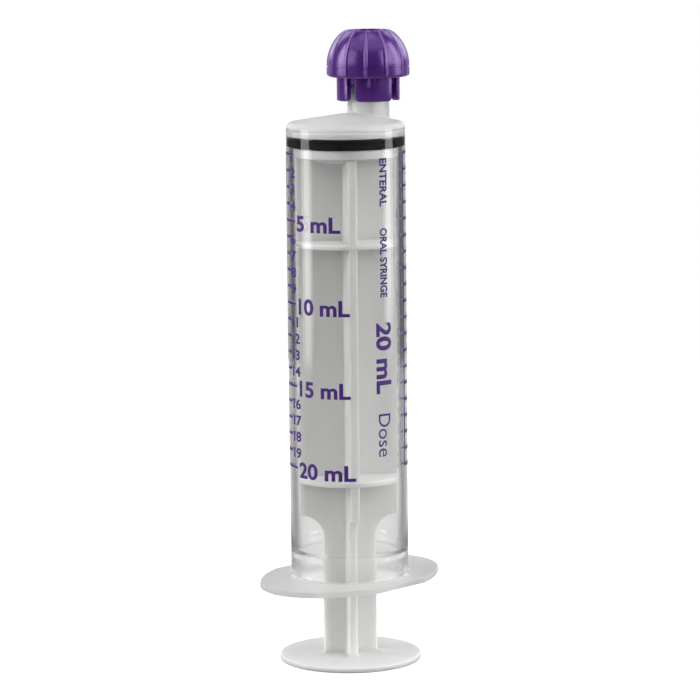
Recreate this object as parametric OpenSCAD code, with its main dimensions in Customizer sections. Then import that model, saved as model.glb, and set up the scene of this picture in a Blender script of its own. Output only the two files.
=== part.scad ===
// Oral syringe: a clear barrel with an oval finger flange and an off-centre tip,
// a cross-ribbed plunger with an O-ring, and a ribbed cap on the tip.
// Millimetres, plunger pushed home. The thumb disc stands on z = 0, +Z runs up the
// barrel's axis, and +X runs along the finger flange, on the side of the tip.

/* [Barrel] */
// Bore of the barrel
barrel_bore = 20.15; // [19.9:0.05:20.6]
// Wall of the barrel
barrel_wall = 1.2; // [1:0.05:1.4]
// Length from the open end to the corner of the shoulder
barrel_len = 88; // [86:0.2:100]
// Rise of the conical shoulder from its corner to its apex
shoulder_rise = 1.85; // [1.2:0.05:2.4]
// Rounding of the shoulder's corner
shoulder_round = 1.3; // [0.8:0.1:1.6]
// How far the stop bead inside the open end stands into the bore
bead_in = 0.25; // [0.15:0.05:0.3]

/* [Finger flange] */
// Length of the flange, tip to tip of its oval
flange_len = 40; // [37:0.5:44]
// Width that the oval has before its flats are cut
flange_oval_w = 29; // [28:0.2:31]
// Width across the two flats
flange_flat_w = 27.2; // [25:0.2:27.8]
// Thickness of the flange
flange_t = 1.2; // [1:0.1:2]

/* [Tip] */
// Distance from the barrel's axis to the tip's axis
tip_offset = 6.45; // [5.6:0.05:6.6]
// Outside diameter of the tip
tip_od = 7.95; // [7.8:0.05:8.2]
// Bore of the tip
tip_bore = 6; // [5.8:0.05:6.2]
// Height of the tip's mouth above the shoulder's corner
tip_len = 11.25; // [10.6:0.05:12]
// Diameter over the two locking lugs of the tip
lug_d = 9.4; // [9:0.1:9.5]

/* [Plunger] */
// Diameter of the thumb disc
thumb_d = 27.1; // [24:0.1:30]
// Thickness of the thumb disc
thumb_t = 1.1; // [1:0.1:2]
// Gap for the fingers between the thumb disc and the flange
finger_gap = 14.35; // [12:0.05:18]
// Width of the cross ribs where they leave the barrel
stem_w = 10.2; // [9:0.1:12]
// Width of the cross ribs inside the barrel
rib_w = 19.1; // [18:0.1:19.2]
// Thickness of a rib
rib_t = 1.6; // [1.2:0.1:2]
// Height of the lower guide disc above the thumb disc's underside
lower_guide_z = 35; // [30:0.2:40]
// Height of the upper guide disc above the thumb disc's underside
upper_guide_z = 80.2; // [70:0.2:84]
// Turn of the ribs from the flange's long axis
plunger_turn = 50; // [0:1:89]

/* [Seal ring] */
// Height of the ring that stands against the bore
seal_h = 2; // [1.6:0.1:2.2]
// Radial thickness of the ring
seal_w = 1.75; // [1.4:0.05:2]

/* [Cap] */
// Diameter of the dome
cap_d = 15.4; // [15:0.1:16.4]
// Height of the dome from its lower rim to its open top
dome_h = 8.8; // [8.4:0.1:9]
// Diameter of the open dish in the top of the dome
dish_d = 8; // [7:0.1:8]
// Outside diameter of the skirt of four legs
skirt_od = 12; // [11.8:0.1:12.4]
// Length of the legs below the dome
leg_drop = 4.5; // [3.6:0.1:5]
// Width of the slot between two legs
slot_w = 1.7; // [1.2:0.1:2.4]
// Number of thin ribs around the dome
cap_ribs = 12; // [8:1:16]
// Turn of the cap on the tip
cap_turn = 9.4; // [0:0.2:29]

/* [Scale] */
// Volume at the last line, mL
capacity = 20; // [10:5:20]
// Height of a printed line
line_w = 0.45; // [0.3:0.05:0.6]
// Direction of the first scale's spine around the barrel, from +X
first_scale = 134; // [120:1:150]
// Direction of the second scale's spine around the barrel, from +X
second_scale = 293; // [290:0.5:320]

/* [Hidden] */
$fn = 96;
overlap = 0.5;
ink_t = 0.04;

// Barrel, from its open end at base_z
bore_r = barrel_bore / 2;
barrel_r = bore_r + barrel_wall;
base_z = thumb_t + finger_gap;
corner_z = base_z + barrel_len;
shoulder_a = atan(shoulder_rise / barrel_r);
apex_z = corner_z + shoulder_rise;
round_x = barrel_r - shoulder_round;
round_z = corner_z + shoulder_round * (tan(shoulder_a) - 1 / cos(shoulder_a));
roof_z = corner_z - barrel_wall;
roof_apex_z = roof_z + bore_r * tan(shoulder_a);
mouth_flare = 0.4;
mouth_flare_h = 1.2;
bead_z = base_z + 5.75;
bead_half_h = 1;
base_fillet = 0.8;

// Oval of the flange: two end arcs and two side arcs that meet smoothly
end_arc_r = 11;
end_arc_x = flange_len / 2 - end_arc_r;
side_arc_k = flange_oval_w / 2 - end_arc_r;
side_arc_y = (pow(end_arc_x, 2) - pow(side_arc_k, 2)) / (2 * side_arc_k);
side_arc_r = flange_oval_w / 2 + side_arc_y;
side_arc_x = side_arc_r * end_arc_x / (side_arc_r - end_arc_r);

// Tip and its lugs
tip_z = corner_z + tip_len;
tip_floor_z = corner_z + 1.1;
tip_edge = 0.3;
passage_d = 2.4;
lug_h = 1.5;
lug_angle = 28;

// Plunger head, guides and ribs
head_play = 0.2;
guide_play = 0.45;
roof_gap = 0.15;
groove_play = 0.05;
upper_land_h = 1.15;
lower_land_h = 1.7;
head_bevel = 1.2;
guide_t = 1;
land_r = bore_r - head_play;
crown_z = roof_z - roof_gap;
seal_top_z = crown_z - upper_land_h - groove_play;
seal_base_z = seal_top_z - seal_h;
head_z = seal_base_z - groove_play - lower_land_h;
arch_r = (rib_w - stem_w) / 2;
arch_z = base_z + 8.4;
thumb_edge = 0.3;

// Seal ring
seal_play = 0.05;
seal_r = bore_r - seal_play;
seal_round = 0.5;
groove_r = seal_r - seal_w - groove_play;

// Cap
cap_r = cap_d / 2;
dome_z = tip_z - 2.9;
dome_top_z = dome_z + dome_h;
dome_mid_z = dome_z + 2.2;
dome_arc_r = 8.1;
dome_round = 0.45;
dish_r = dish_d / 2;
dish_h = 2.6;
dish_round = 0.6;
skirt_r = skirt_od / 2;
skirt_wall = 1.15;
skirt_bore_r = skirt_r - skirt_wall;
skirt_z = dome_z - leg_drop;
collar_wall = 0.5;
collar_h = 1.4;
leg_round = 0.9;
leg_land = 0.06;
legs = 4;
leg_turn = 45;
lug_turn = cap_turn + leg_turn + 180 / legs;
snap_in = 0.45;
snap_z = skirt_z + 0.8;
snap_h = 0.9;
snap_angle = 20;
plug_r = tip_bore / 2 - 0.15;
plug_len = 5.5;
plug_bore_r = 1.4;
cap_rib_t = 0.4;
cap_rib_out = 0.15;
parting_z = dome_z + 1.8;
parting_h = 0.16;
parting_in = 0.1;

// Scale: the pitch is the height of one millilitre in the bore
ml_pitch = 1000 / (PI * pow(bore_r, 2));
zero_rise = 0.15;
zero_z = seal_top_z + zero_rise;
ml_step = 1;
long_every = 5;
short_line_a = 19;
long_line_a = 30;
spine_a = 2;

// A stretch of ring between two directions
module ring_sector(r_in, wall, h, from, sweep) {
    rotate([0, 0, from])
        rotate_extrude(angle = sweep)
            translate([r_in, 0]) square([wall, h]);
}

// Half section of the barrel's outside
module barrel_outline() {
    polygon([
        [0, base_z], [barrel_r, base_z], [barrel_r, round_z],
        [round_x + shoulder_round * sin(shoulder_a), round_z + shoulder_round * cos(shoulder_a)],
        [0, apex_z]
    ]);
    translate([round_x, round_z]) circle(r = shoulder_round);
    difference() {
        translate([barrel_r - overlap, base_z + flange_t - overlap])
            square([base_fillet + overlap, base_fillet + overlap]);
        translate([barrel_r + base_fillet, base_z + flange_t + base_fillet]) circle(r = base_fillet);
    }
}

// Half section of the bore: flared mouth, stop bead and conical roof
module bore_outline() {
    polygon([
        [0, base_z - overlap], [bore_r + mouth_flare, base_z - overlap],
        [bore_r + mouth_flare, base_z], [bore_r, base_z + mouth_flare_h],
        [bore_r, bead_z - bead_half_h], [bore_r - bead_in, bead_z - bead_half_h / 3],
        [bore_r - bead_in, bead_z + bead_half_h / 3], [bore_r, bead_z + bead_half_h],
        [bore_r, roof_z], [0, roof_apex_z]
    ]);
}

// Oval of four arcs with a flat cut along each long side
module flange_outline() {
    intersection() {
        union() {
            for (side = [-1, 1])
                translate([side * end_arc_x, 0]) circle(r = end_arc_r);
            intersection() {
                translate([0, -side_arc_y]) circle(r = side_arc_r, $fn = 200);
                translate([0, side_arc_y]) circle(r = side_arc_r, $fn = 200);
                square([2 * side_arc_x, flange_oval_w + overlap], center = true);
            }
        }
        square([flange_len + overlap, flange_flat_w], center = true);
    }
}

// Tip standing on the shoulder, with two locking lugs near its mouth
module tip_outside() {
    translate([0, 0, roof_z]) cylinder(d = tip_od, h = tip_z - tip_edge - roof_z);
    translate([0, 0, tip_z - tip_edge])
        cylinder(d1 = tip_od, d2 = tip_od - 2 * tip_edge, h = tip_edge);
    for (side = [0, 180])
        translate([0, 0, tip_z - tip_edge - lug_h])
            ring_sector(tip_bore / 2 + overlap, lug_d / 2 - tip_bore / 2 - overlap, lug_h,
                        lug_turn + side - lug_angle / 2, lug_angle);
}

module barrel() {
    color([0.84, 0.87, 0.88, 0.5])
    difference() {
        union() {
            rotate_extrude() barrel_outline();
            translate([0, 0, base_z]) linear_extrude(height = flange_t) flange_outline();
            translate([tip_offset, 0, 0]) tip_outside();
        }
        rotate_extrude() bore_outline();
        translate([tip_offset, 0, tip_floor_z]) cylinder(d = tip_bore, h = tip_len);
        translate([tip_offset, 0, roof_z]) cylinder(d = passage_d, h = tip_len);
    }
}

// One line of a scale, at a volume, from a direction over a sweep
module scale_line(volume, from, sweep) {
    translate([0, 0, zero_z - volume * ml_pitch - line_w / 2])
        ring_sector(barrel_r, ink_t, line_w, from, sweep);
}

// Two scales, each a spine with its lines running from it
module scale_lines() {
    color([0.28, 0.13, 0.5])
    for (from = [first_scale, second_scale]) {
        for (volume = [ml_step:ml_step:capacity])
            scale_line(volume, from, volume % long_every == 0 ? long_line_a : short_line_a);
        translate([0, 0, zero_z - capacity * ml_pitch])
            ring_sector(barrel_r, ink_t, (capacity - ml_step) * ml_pitch, from, spine_a);
    }
}

// Half section of the head: two lands with the groove between them, and a conical crown
module head_outline() {
    polygon([
        [0, head_z - head_bevel], [stem_w / 2, head_z - head_bevel], [land_r, head_z],
        [land_r, seal_base_z - groove_play], [groove_r, seal_base_z - groove_play],
        [groove_r, seal_top_z + groove_play], [land_r, seal_top_z + groove_play],
        [land_r, crown_z], [0, crown_z + land_r * tan(shoulder_a)]
    ]);
}

// One rib, wide inside the barrel and arched in to the stem below
module rib_outline() {
    difference() {
        translate([-rib_w / 2, arch_z]) square([rib_w, head_z - arch_z]);
        for (side = [-1, 1])
            translate([side * (stem_w / 2 + arch_r), arch_z]) circle(r = arch_r);
    }
    translate([-stem_w / 2, thumb_t - overlap]) square([stem_w, arch_z - thumb_t + 2 * overlap]);
}

module thumb_disc() {
    cylinder(d1 = thumb_d - 2 * thumb_edge, d2 = thumb_d, h = thumb_edge);
    translate([0, 0, thumb_edge]) cylinder(d = thumb_d, h = thumb_t - 2 * thumb_edge);
    translate([0, 0, thumb_t - thumb_edge])
        cylinder(d1 = thumb_d, d2 = thumb_d - 2 * thumb_edge, h = thumb_edge);
}

module plunger_rod() {
    color([0.88, 0.89, 0.87])
    rotate([0, 0, plunger_turn]) {
        thumb_disc();
        for (turn = [0, 90])
            rotate([90, 0, turn])
                linear_extrude(height = rib_t, center = true) rib_outline();
        for (z = [lower_guide_z, upper_guide_z])
            translate([0, 0, z]) cylinder(r = bore_r - guide_play, h = guide_t);
        rotate_extrude() head_outline();
    }
}

// Ring section with rounded corners, squeezed flat where it meets the bore
module seal_section() {
    translate([seal_r - seal_w, seal_round]) square([seal_w, seal_h - 2 * seal_round]);
    translate([seal_r - seal_w + seal_round, 0]) square([seal_w - 2 * seal_round, seal_h]);
    for (x = [seal_r - seal_w + seal_round, seal_r - seal_round], z = [seal_round, seal_h - seal_round])
        translate([x, z]) circle(r = seal_round);
}

module seal_ring() {
    color([0.06, 0.07, 0.07])
    translate([0, 0, seal_base_z]) rotate_extrude() seal_section();
}

// Half section of the dome, grown outward by an amount
module dome_outline(out) {
    intersection() {
        translate([cap_r - dome_arc_r, dome_mid_z]) circle(r = dome_arc_r + out);
        translate([0, dome_mid_z]) square([cap_r + out, dome_top_z - dome_mid_z]);
    }
    translate([0, dome_z + dome_round]) square([cap_r + out, dome_mid_z - dome_z - dome_round]);
    translate([0, dome_z]) square([cap_r + out - dome_round, dome_mid_z - dome_z]);
    translate([cap_r + out - dome_round, dome_z + dome_round]) circle(r = dome_round);
}

// Half section of the dish: a flat floor with rounded corners
module dish_outline() {
    translate([0, dome_top_z - dish_h + dish_round]) square([dish_r, dish_h]);
    translate([0, dome_top_z - dish_h]) square([dish_r - dish_round, dish_h]);
    translate([dish_r - dish_round, dome_top_z - dish_h + dish_round]) circle(r = dish_round);
}

// Half section of the cap's revolved body, without its legs
module cap_outline() {
    difference() {
        dome_outline(0);
        dish_outline();
        translate([cap_r - parting_in, parting_z]) square([cap_d, parting_h]);
        translate([0, dome_z - overlap]) square([skirt_bore_r, tip_z + roof_gap - dome_z + overlap]);
    }
    translate([plug_bore_r, tip_z - plug_len])
        square([plug_r - plug_bore_r, plug_len + roof_gap + overlap]);
    translate([skirt_bore_r, dome_z - collar_h]) square([collar_wall, collar_h + overlap]);
}

// Slot between two legs, flared at the bottom so that the legs have rounded corners
module slot_outline() {
    translate([-slot_w / 2, skirt_z - overlap]) square([slot_w, leg_drop + overlap]);
    difference() {
        translate([-slot_w / 2 - leg_round, skirt_z - overlap])
            square([slot_w + 2 * leg_round, leg_round + overlap]);
        for (side = [-1, 1])
            translate([side * (slot_w / 2 + leg_round + leg_land), skirt_z + leg_round - leg_land])
                circle(r = leg_round);
    }
}

// Four legs cut from one skirt, each with a snap bead inside
module cap_legs() {
    difference() {
        translate([0, 0, skirt_z])
            ring_sector(skirt_bore_r, skirt_wall, leg_drop + overlap, 0, 360);
        for (leg = [0:legs - 1])
            rotate([0, 0, leg_turn + (leg + 0.5) * 360 / legs])
                translate([skirt_bore_r - overlap, 0, 0])
                    rotate([90, 0, 90])
                        linear_extrude(height = skirt_wall + 2 * overlap) slot_outline();
    }
    for (leg = [0:legs - 1])
        translate([0, 0, snap_z])
            ring_sector(skirt_bore_r - snap_in, snap_in + overlap, snap_h,
                        leg_turn + leg * 360 / legs - snap_angle / 2, snap_angle);
}

// One thin rib up the side of the dome
module cap_rib() {
    rotate([90, 0, 0])
        linear_extrude(height = cap_rib_t, center = true)
            difference() {
                dome_outline(cap_rib_out);
                translate([-overlap, dome_z - overlap])
                    square([dish_r + overlap + cap_rib_t, dome_h + 2 * overlap]);
                translate([0, dome_z - overlap]) square([skirt_r, overlap + dome_h / 2]);
            }
}

module tip_cap() {
    color([0.4, 0.24, 0.6])
    translate([tip_offset, 0, 0]) rotate([0, 0, cap_turn]) {
        rotate_extrude() cap_outline();
        cap_legs();
        for (rib = [0:cap_ribs - 1])
            rotate([0, 0, rib * 360 / cap_ribs]) cap_rib();
    }
}

barrel();
scale_lines();
plunger_rod();
seal_ring();
tip_cap();
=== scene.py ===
"""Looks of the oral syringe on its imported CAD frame. Sizes are in mm until they go into a mesh."""
import math

import bmesh
import bpy
from mathutils import Matrix, Vector


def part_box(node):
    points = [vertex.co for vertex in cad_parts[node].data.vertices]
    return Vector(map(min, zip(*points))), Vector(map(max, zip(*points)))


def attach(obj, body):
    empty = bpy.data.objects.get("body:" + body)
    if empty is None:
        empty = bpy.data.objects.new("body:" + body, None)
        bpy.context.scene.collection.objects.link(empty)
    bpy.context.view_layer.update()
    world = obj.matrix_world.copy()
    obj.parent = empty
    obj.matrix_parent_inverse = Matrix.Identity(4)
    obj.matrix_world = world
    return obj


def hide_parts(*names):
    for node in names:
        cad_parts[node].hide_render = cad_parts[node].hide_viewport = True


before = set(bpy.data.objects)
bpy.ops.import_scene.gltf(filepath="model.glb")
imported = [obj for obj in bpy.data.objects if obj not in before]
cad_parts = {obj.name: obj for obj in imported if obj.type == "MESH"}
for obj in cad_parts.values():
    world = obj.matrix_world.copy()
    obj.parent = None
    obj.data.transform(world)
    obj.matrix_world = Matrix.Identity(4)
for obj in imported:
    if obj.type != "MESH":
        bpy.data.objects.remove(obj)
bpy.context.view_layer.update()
MM = 0.001


def cad_box(node):
    """Lowest and highest corner of a CAD node, in mm."""
    low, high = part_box(node)
    return low / MM, high / MM


BARREL_LOW, BARREL_HIGH = cad_box("barrel")
ROD_HIGH = cad_box("plunger_rod")[1]
SEAL_LOW, SEAL_HIGH = cad_box("seal_ring")
CAP_LOW, CAP_HIGH = cad_box("tip_cap")
SCALE_LOW = cad_box("scale_lines")[0]

# Barrel
BASE_Z = BARREL_LOW.z
TIP_Z = BARREL_HIGH.z
TIP_LEN = 11.25
CORNER_Z = TIP_Z - TIP_LEN
SEAL_PLAY = 0.05
BORE_R = SEAL_HIGH.x + SEAL_PLAY
WALL = 1.2
BARREL_R = BORE_R + WALL
SHOULDER_RISE = 1.85
SHOULDER_A = math.atan(SHOULDER_RISE / BARREL_R)
SHOULDER_ROUND = 1.3
ROUND_X = BARREL_R - SHOULDER_ROUND
ROUND_Z = CORNER_Z + SHOULDER_ROUND * (math.tan(SHOULDER_A) - 1 / math.cos(SHOULDER_A))
APEX_Z = CORNER_Z + SHOULDER_RISE
APEX_SOFT = 0.8
ROOF_Z = CORNER_Z - WALL
MOUTH_FLARE = 0.4
MOUTH_FLARE_H = 1.2
BEAD_Z = BASE_Z + 5.75
BEAD_HALF_H = 1.0
BEAD_IN = 0.25
BASE_FILLET = 0.8
FLANGE_T = 1.2
FLANGE_HALF_L = BARREL_HIGH.x
FLANGE_HALF_FLAT = BARREL_HIGH.y
FLANGE_HALF_OVAL = 14.5
FLANGE_END_R = 11
FLANGE_EDGE = 0.22
MOUTH_EDGE = 0.08
BORE_CORNER = 0.5
BEAD_LOOPS = 12

# Where the barrel's finishes meet
FACE_SLACK = 0.1
TIP_HAZE_RISE = 0.6
FROST_RISE = 0.25
ROOF_FROST_H = 1.2

# Tip
TIP_X = (CAP_LOW.x + CAP_HIGH.x) / 2
TIP_R = 7.95 / 2
TIP_BORE_R = 3
TIP_FLOOR_Z = CORNER_Z + 1.1
TIP_EDGE = 0.3
PASSAGE_R = 1.2
NECK_FILLET = 0.55
LUG_R = 4.7
LUG_H = 1.5
LUG_HALF_A = math.radians(14)

# Plunger
THUMB_R = ROD_HIGH.x
THUMB_T = 1.1
THUMB_EDGE = 0.3
STEM_HALF_W = 5.1
RIB_HALF_W = 9.55
RIB_HALF_T = 0.8
ARCH_Z = BASE_Z + 8.4
ARCH_R = RIB_HALF_W - STEM_HALF_W
GUIDES_Z = (35, 80.2)
GUIDE_R = BORE_R - 0.45
GUIDE_T = 1
LAND_R = BORE_R - 0.2
CROWN_Z = ROOF_Z - 0.15
GROOVE_PLAY = 0.05
LOWER_LAND_H = 1.7
HEAD_Z = SEAL_LOW.z - GROOVE_PLAY - LOWER_LAND_H
HEAD_BEVEL = 1.2
LAND_EDGE = 0.18
GATE_MARK_R = 1.3
GATE_MARK_D = 0.12
PLUNGER_TURN = math.radians(50)
ROD_TURNS = 192
RIB_FILLET = 0.45
RIB_EDGE = 0.22
FOOT_FILLET = 0.7

# Seal ring, squeezed against the bore
SEAL_SQUEEZE = 0.02
SEAL_R = BORE_R + SEAL_SQUEEZE
SEAL_W = 1.75
SEAL_ROUND = 0.28
GROOVE_R = SEAL_HIGH.x - SEAL_W - GROOVE_PLAY

# Cap
CAP_R = 7.7
DOME_Z = TIP_Z - 2.9
DOME_TOP_Z = CAP_HIGH.z
DOME_MID_Z = DOME_Z + 2.2
DOME_ARC_R = 8.1
DOME_ROUND = 0.45
DISH_R = 4
DISH_H = 2.6
DISH_ROUND = 0.6
DISH_MARK_IN = 1.0
DISH_MARK_OUT = 1.75
DISH_MARK_SLOPE = 0.15
DISH_MARK_H = 0.08
RIM_ROUND = 0.12
SKIRT_R = 6
SKIRT_BORE_R = 4.85
SKIRT_Z = CAP_LOW.z
COLLAR_WALL = 0.5
COLLAR_H = 1.4
CAP_ROOF_Z = TIP_Z + 0.15
PLUG_R = 2.85
PLUG_Z = TIP_Z - 5.5
PLUG_BORE_R = 1.4
PARTING_Z = DOME_Z + 1.88
PARTING_H = 0.2
PARTING_IN = 0.1
CAP_RIBS = 12
CAP_RIB_HALF_T = 0.17
CAP_RIB_SOFT = 0.22
CAP_RIB_OUT = 0.15
CAP_TURN = math.radians(9.4)
LEGS = 4
LEG_HALF_SLOT = 0.85
LEG_ROUND = 0.9
LEG_EDGE = 0.16
SNAP_Z = SKIRT_Z + 0.8
SNAP_H = 0.9
SNAP_IN = 0.45
SNAP_HALF_A = math.radians(10)

# Scale: the last line stands at SCALE_LOW, one millilitre is ML_PITCH tall
ML_PITCH = 1000 / (math.pi * BORE_R ** 2)
LINE_W = 0.45
FULL_Z = SCALE_LOW.z + LINE_W / 2
CAPACITY = 20
FRONT_A = math.radians(223)
INK_T = 0.03
INK_GAP = 0.004

ROUND_TURNS = 240

# Printed words: capital height of the built-in face at size 1, and the strips they are bent in
FONT_CAP_H = 0.729
STRIP_W = 0.45
TEXT_BOLD = 0.03
LONG_TEXT_H = 3.0
LONG_TEXT_A = -56
LONG_TEXT_STRETCH = 1.18
SHORT_TEXT_H = 1.9
SHORT_TEXT_A = -68.5
SHORT_TEXT_STRETCH = 1.6
TEENS_STRETCH = 1.32
ONE_SHIFT = 2
ONE_NARROW = 0.96
TEXT_DROP = 0.22
SECOND_SCALE_A = 159
COLUMN_A = 38
# words, height, boldness, height of the first letter's start, stretch
COLUMN = (
    ("ENTERAL", 1.65, 0.03, 97.4, 0.97),
    ("ORAL SYRINGE", 1.6, 0.03, 84.3, 0.88),
    ("20 mL", 3.4, 0.035, 66.45, 1.13),
    ("Dose", 2.9, 0.0, 49.05, 1.0),
)

# Finishes
CLEAR, FROSTED, HAZY, SOFT, GRAINED = range(5)
# name, roughness, grain, bump, base tone, transmission, share of the lamps' light let through
BARREL_PLASTICS = (
    ("clear_plastic", 0.03, 0.15, 0.05, 0.965, 1.0, 0.985),  # tube
    ("frosted_plastic", 0.40, 0.4, 0.10, 0.75, 0.5, 0.90),  # shoulder
    ("hazy_plastic", 0.33, 0.4, 0.04, 0.85, 0.72, 0.93),  # tip
    ("soft_plastic", 0.24, 0.3, 0.04, 0.955, 1.0, 0.97),  # inside of the stop bead and the mouth
    ("grained_plastic", 0.38, 0.4, 0.04, 0.76, 0.7, 0.93),  # finger flange
)
PLASTIC_IOR = 1.49
BUMP_DEPTH = 0.0003
BARREL_GRAIN = 2000.0
BARREL_FLOW = 0.9
GREEN_TRACE = 0.004
TONE_SPREAD = 0.05
TINT_MAX = 0.985
MILK_DARK = (0.71, 0.715, 0.70)
MILK_LIGHT = (0.79, 0.795, 0.785)
RUBBER_DARK = (0.001, 0.003, 0.001)
RUBBER_LIGHT = (0.004, 0.007, 0.003)
CAP_DARK = (0.055, 0.010, 0.150)
CAP_LIGHT = (0.080, 0.020, 0.205)
# Painted highlight colour: the cap's base colour turns towards it on sharp edges, rib crests and the
# rim seen at a glance
CAP_PAINTED_HIGHLIGHT = (0.27, 0.14, 0.48)
CAP_PAINTED_RIM_SHARE = 0.85
CAP_RIB_HIGHLIGHT_SHARE = 0.75
INK_DARK = (0.050, 0.012, 0.160)
INK_LIGHT = (0.085, 0.025, 0.240)
INK_BACK = (0.50, 0.42, 0.66)

# Camera: place in metres, turns in degrees, sensor and lens in mm
CAMERA_AT = (-0.4624, -0.4318, 0.15415)
CAMERA_HEADING = 43.0
CAMERA_DOWN = 8.468
CAMERA_ROLL = -0.571
CAMERA_SENSOR = 36.0
CAMERA_LENS = 172.4
TO_CAMERA = math.radians(CAMERA_HEADING + 180)

# Studio. The floor is bright to the camera, and to other rays only in a strip behind the object
FLOOR_R = 385
FLOOR_T = 4
FLOOR_SEEN = 0.95
FLOOR_LIFT = 0.3
FLOOR_BOUNCE = 0.68
FLOOR_ASIDE = 0.28
BACK_HALF_W = 23
BACK_SOFT = 5
AMBIENT = 0.05
# azimuth from the camera's side (+ is its right hand), half width, low, high, softness, power
SOFT_BOXES = (
    (-86, 10.5, 2, 46, 1.2, 7.4),  # left strip, weaker below the horizon
    (-86, 10.5, -8, 2, 1.2, 4.6),
    (-86, 10.5, -11, -8, 1.2, 2.2),
    (92.6, 10, 2, 44, 1.2, 6.2),  # right strip
    (92.6, 10, -8, 2, 1.2, 4.6),
    (60, 20, 2, 36, 3, 4.2),  # front boxes
    (-56, 18, 2, 36, 3, 2.7),
    (0, 95, 41, 100, 6, 1.25),  # high over the front
    (-140, 14, 4, 50, 4, 2.6),  # rear boxes
    (140, 14, 4, 50, 4, 2.6),
    (180, BACK_HALF_W, -40, 60, BACK_SOFT, 0.57),  # bright strip behind, in a dimmer wash
    (180, 75, -40, 60, 10, 0.10),
    (0, 200, 74, 100, 6, 1.1),  # ceiling
    (0, 200, -60, -10, 1, 0.3),  # the room's floor past the studio floor
)


# ---------------------------------------------------------------- shapes
def turn_angles(count):
    return [2 * math.pi * i / count for i in range(count)]


def ring(radius, z, angles, centre_x=0.0):
    """One loop of points. Radius and z may be plain numbers or functions of the angle."""
    points = []
    for a in angles:
        r = radius(a) if callable(radius) else radius
        h = z(a) if callable(z) else z
        points.append((centre_x + r * math.cos(a), r * math.sin(a), h))
    return points


def arc(centre_r, centre_z, radius, start, end, steps):
    """Points (r, z) along an arc, angles in degrees from the outward direction."""
    points = []
    for i in range(steps + 1):
        a = math.radians(start + (end - start) * i / steps)
        points.append((centre_r + radius * math.cos(a), centre_z + radius * math.sin(a)))
    return points


def smooth(x):
    x = min(max(x, 0.0), 1.0)
    return x * x * (3 - 2 * x)


def mesh_piece(name, rings, loop=False, caps=False, sharp=35):
    """Skins loops of points into one mesh. A loop of a single point closes an end."""
    bm = bmesh.new()
    rows = [[bm.verts.new(Vector(p) * MM) for p in r] for r in rings]
    pairs = list(zip(rows, rows[1:])) + ([(rows[-1], rows[0])] if loop else [])
    for a, b in pairs:
        count = max(len(a), len(b))
        for i in range(count):
            j = (i + 1) % count
            if len(a) == 1:
                bm.faces.new((a[0], b[j], b[i]))
            elif len(b) == 1:
                bm.faces.new((a[i], a[j], b[0]))
            else:
                bm.faces.new((a[i], a[j], b[j], b[i]))
    if caps:
        bm.faces.new(list(reversed(rows[0])))
        bm.faces.new(rows[-1])
    bmesh.ops.recalc_face_normals(bm, faces=bm.faces)
    mesh = bpy.data.meshes.new(name)
    bm.to_mesh(mesh)
    bm.free()
    piece = bpy.data.objects.new(name, mesh)
    bpy.context.scene.collection.objects.link(piece)
    soften(piece, sharp)
    return piece


def soften(piece, sharp=35):
    """Smooth shading with edges kept where two faces meet at more than an angle."""
    piece.data.polygons.foreach_set("use_smooth", [True] * len(piece.data.polygons))
    piece.data.set_sharp_from_angle(angle=math.radians(sharp))


def revolve(name, profile, angles, centre_x=0.0, loop=False, sharp=35):
    """Skins a profile of (r, z) points around an axis."""
    rings = []
    for r, z in profile:
        on_axis = not callable(r) and r <= 0
        rings.append([(centre_x, 0, z)] if on_axis else ring(r, z, angles, centre_x))
    return mesh_piece(name, rings, loop=loop, sharp=sharp)


def fuse(name, parts):
    """Joins closed shapes into one solid, the first one taking the name."""
    body = parts[0]
    for other in parts[1:]:
        cut = body.modifiers.new("fuse", "BOOLEAN")
        cut.operation = "UNION"
        cut.solver = "MANIFOLD"
        cut.object = other
        bpy.context.view_layer.update()
        whole = bpy.data.meshes.new_from_object(
            body.evaluated_get(bpy.context.evaluated_depsgraph_get()))
        body.modifiers.clear()
        body.data = whole
        bpy.data.objects.remove(other)
    body.name = name
    soften(body)
    return body


# ---------------------------------------------------------------- barrel
def flange_radius(a):
    """Distance from the axis to the flange's outline, along a direction."""
    c, s = abs(math.cos(a)), abs(math.sin(a))
    end_x = FLANGE_HALF_L - FLANGE_END_R
    k = FLANGE_HALF_OVAL - FLANGE_END_R
    side_y = (end_x ** 2 - k ** 2) / (2 * k)
    side_r = FLANGE_HALF_OVAL + side_y
    meet_x = side_r * end_x / (side_r - FLANGE_END_R)
    r = -side_y * s + math.sqrt((side_y * s) ** 2 + side_r ** 2 - side_y ** 2)
    if r * c > meet_x:
        r = end_x * c + math.sqrt((end_x * c) ** 2 + FLANGE_END_R ** 2 - end_x ** 2)
    return min(r, FLANGE_HALF_FLAT / s) if s > 1e-6 else r


def flange_corner():
    """Direction of the corner between the flat and the oval, first quarter."""
    low, high = math.radians(45), math.radians(89)
    for _ in range(40):
        mid = (low + high) / 2
        on_flat = abs(flange_radius(mid) * math.sin(mid) - FLANGE_HALF_FLAT) < 1e-9
        low, high = (low, mid) if on_flat else (mid, high)
    return (low + high) / 2


def barrel_angles():
    """Even turns, with the nearest ones moved onto the flange's four corners."""
    angles = turn_angles(ROUND_TURNS)
    first = flange_corner()
    for corner in (first, math.pi - first, math.pi + first, 2 * math.pi - first):
        near = min(range(len(angles)), key=lambda i: abs(angles[i] - corner))
        angles[near] = corner
    return angles


def outer_cone(d):
    return APEX_Z - math.tan(SHOULDER_A) * math.sqrt(d * d + APEX_SOFT ** 2)


def inner_cone(d):
    return ROOF_Z + math.tan(SHOULDER_A) * (BORE_R - math.sqrt(d * d + APEX_SOFT ** 2))


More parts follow.
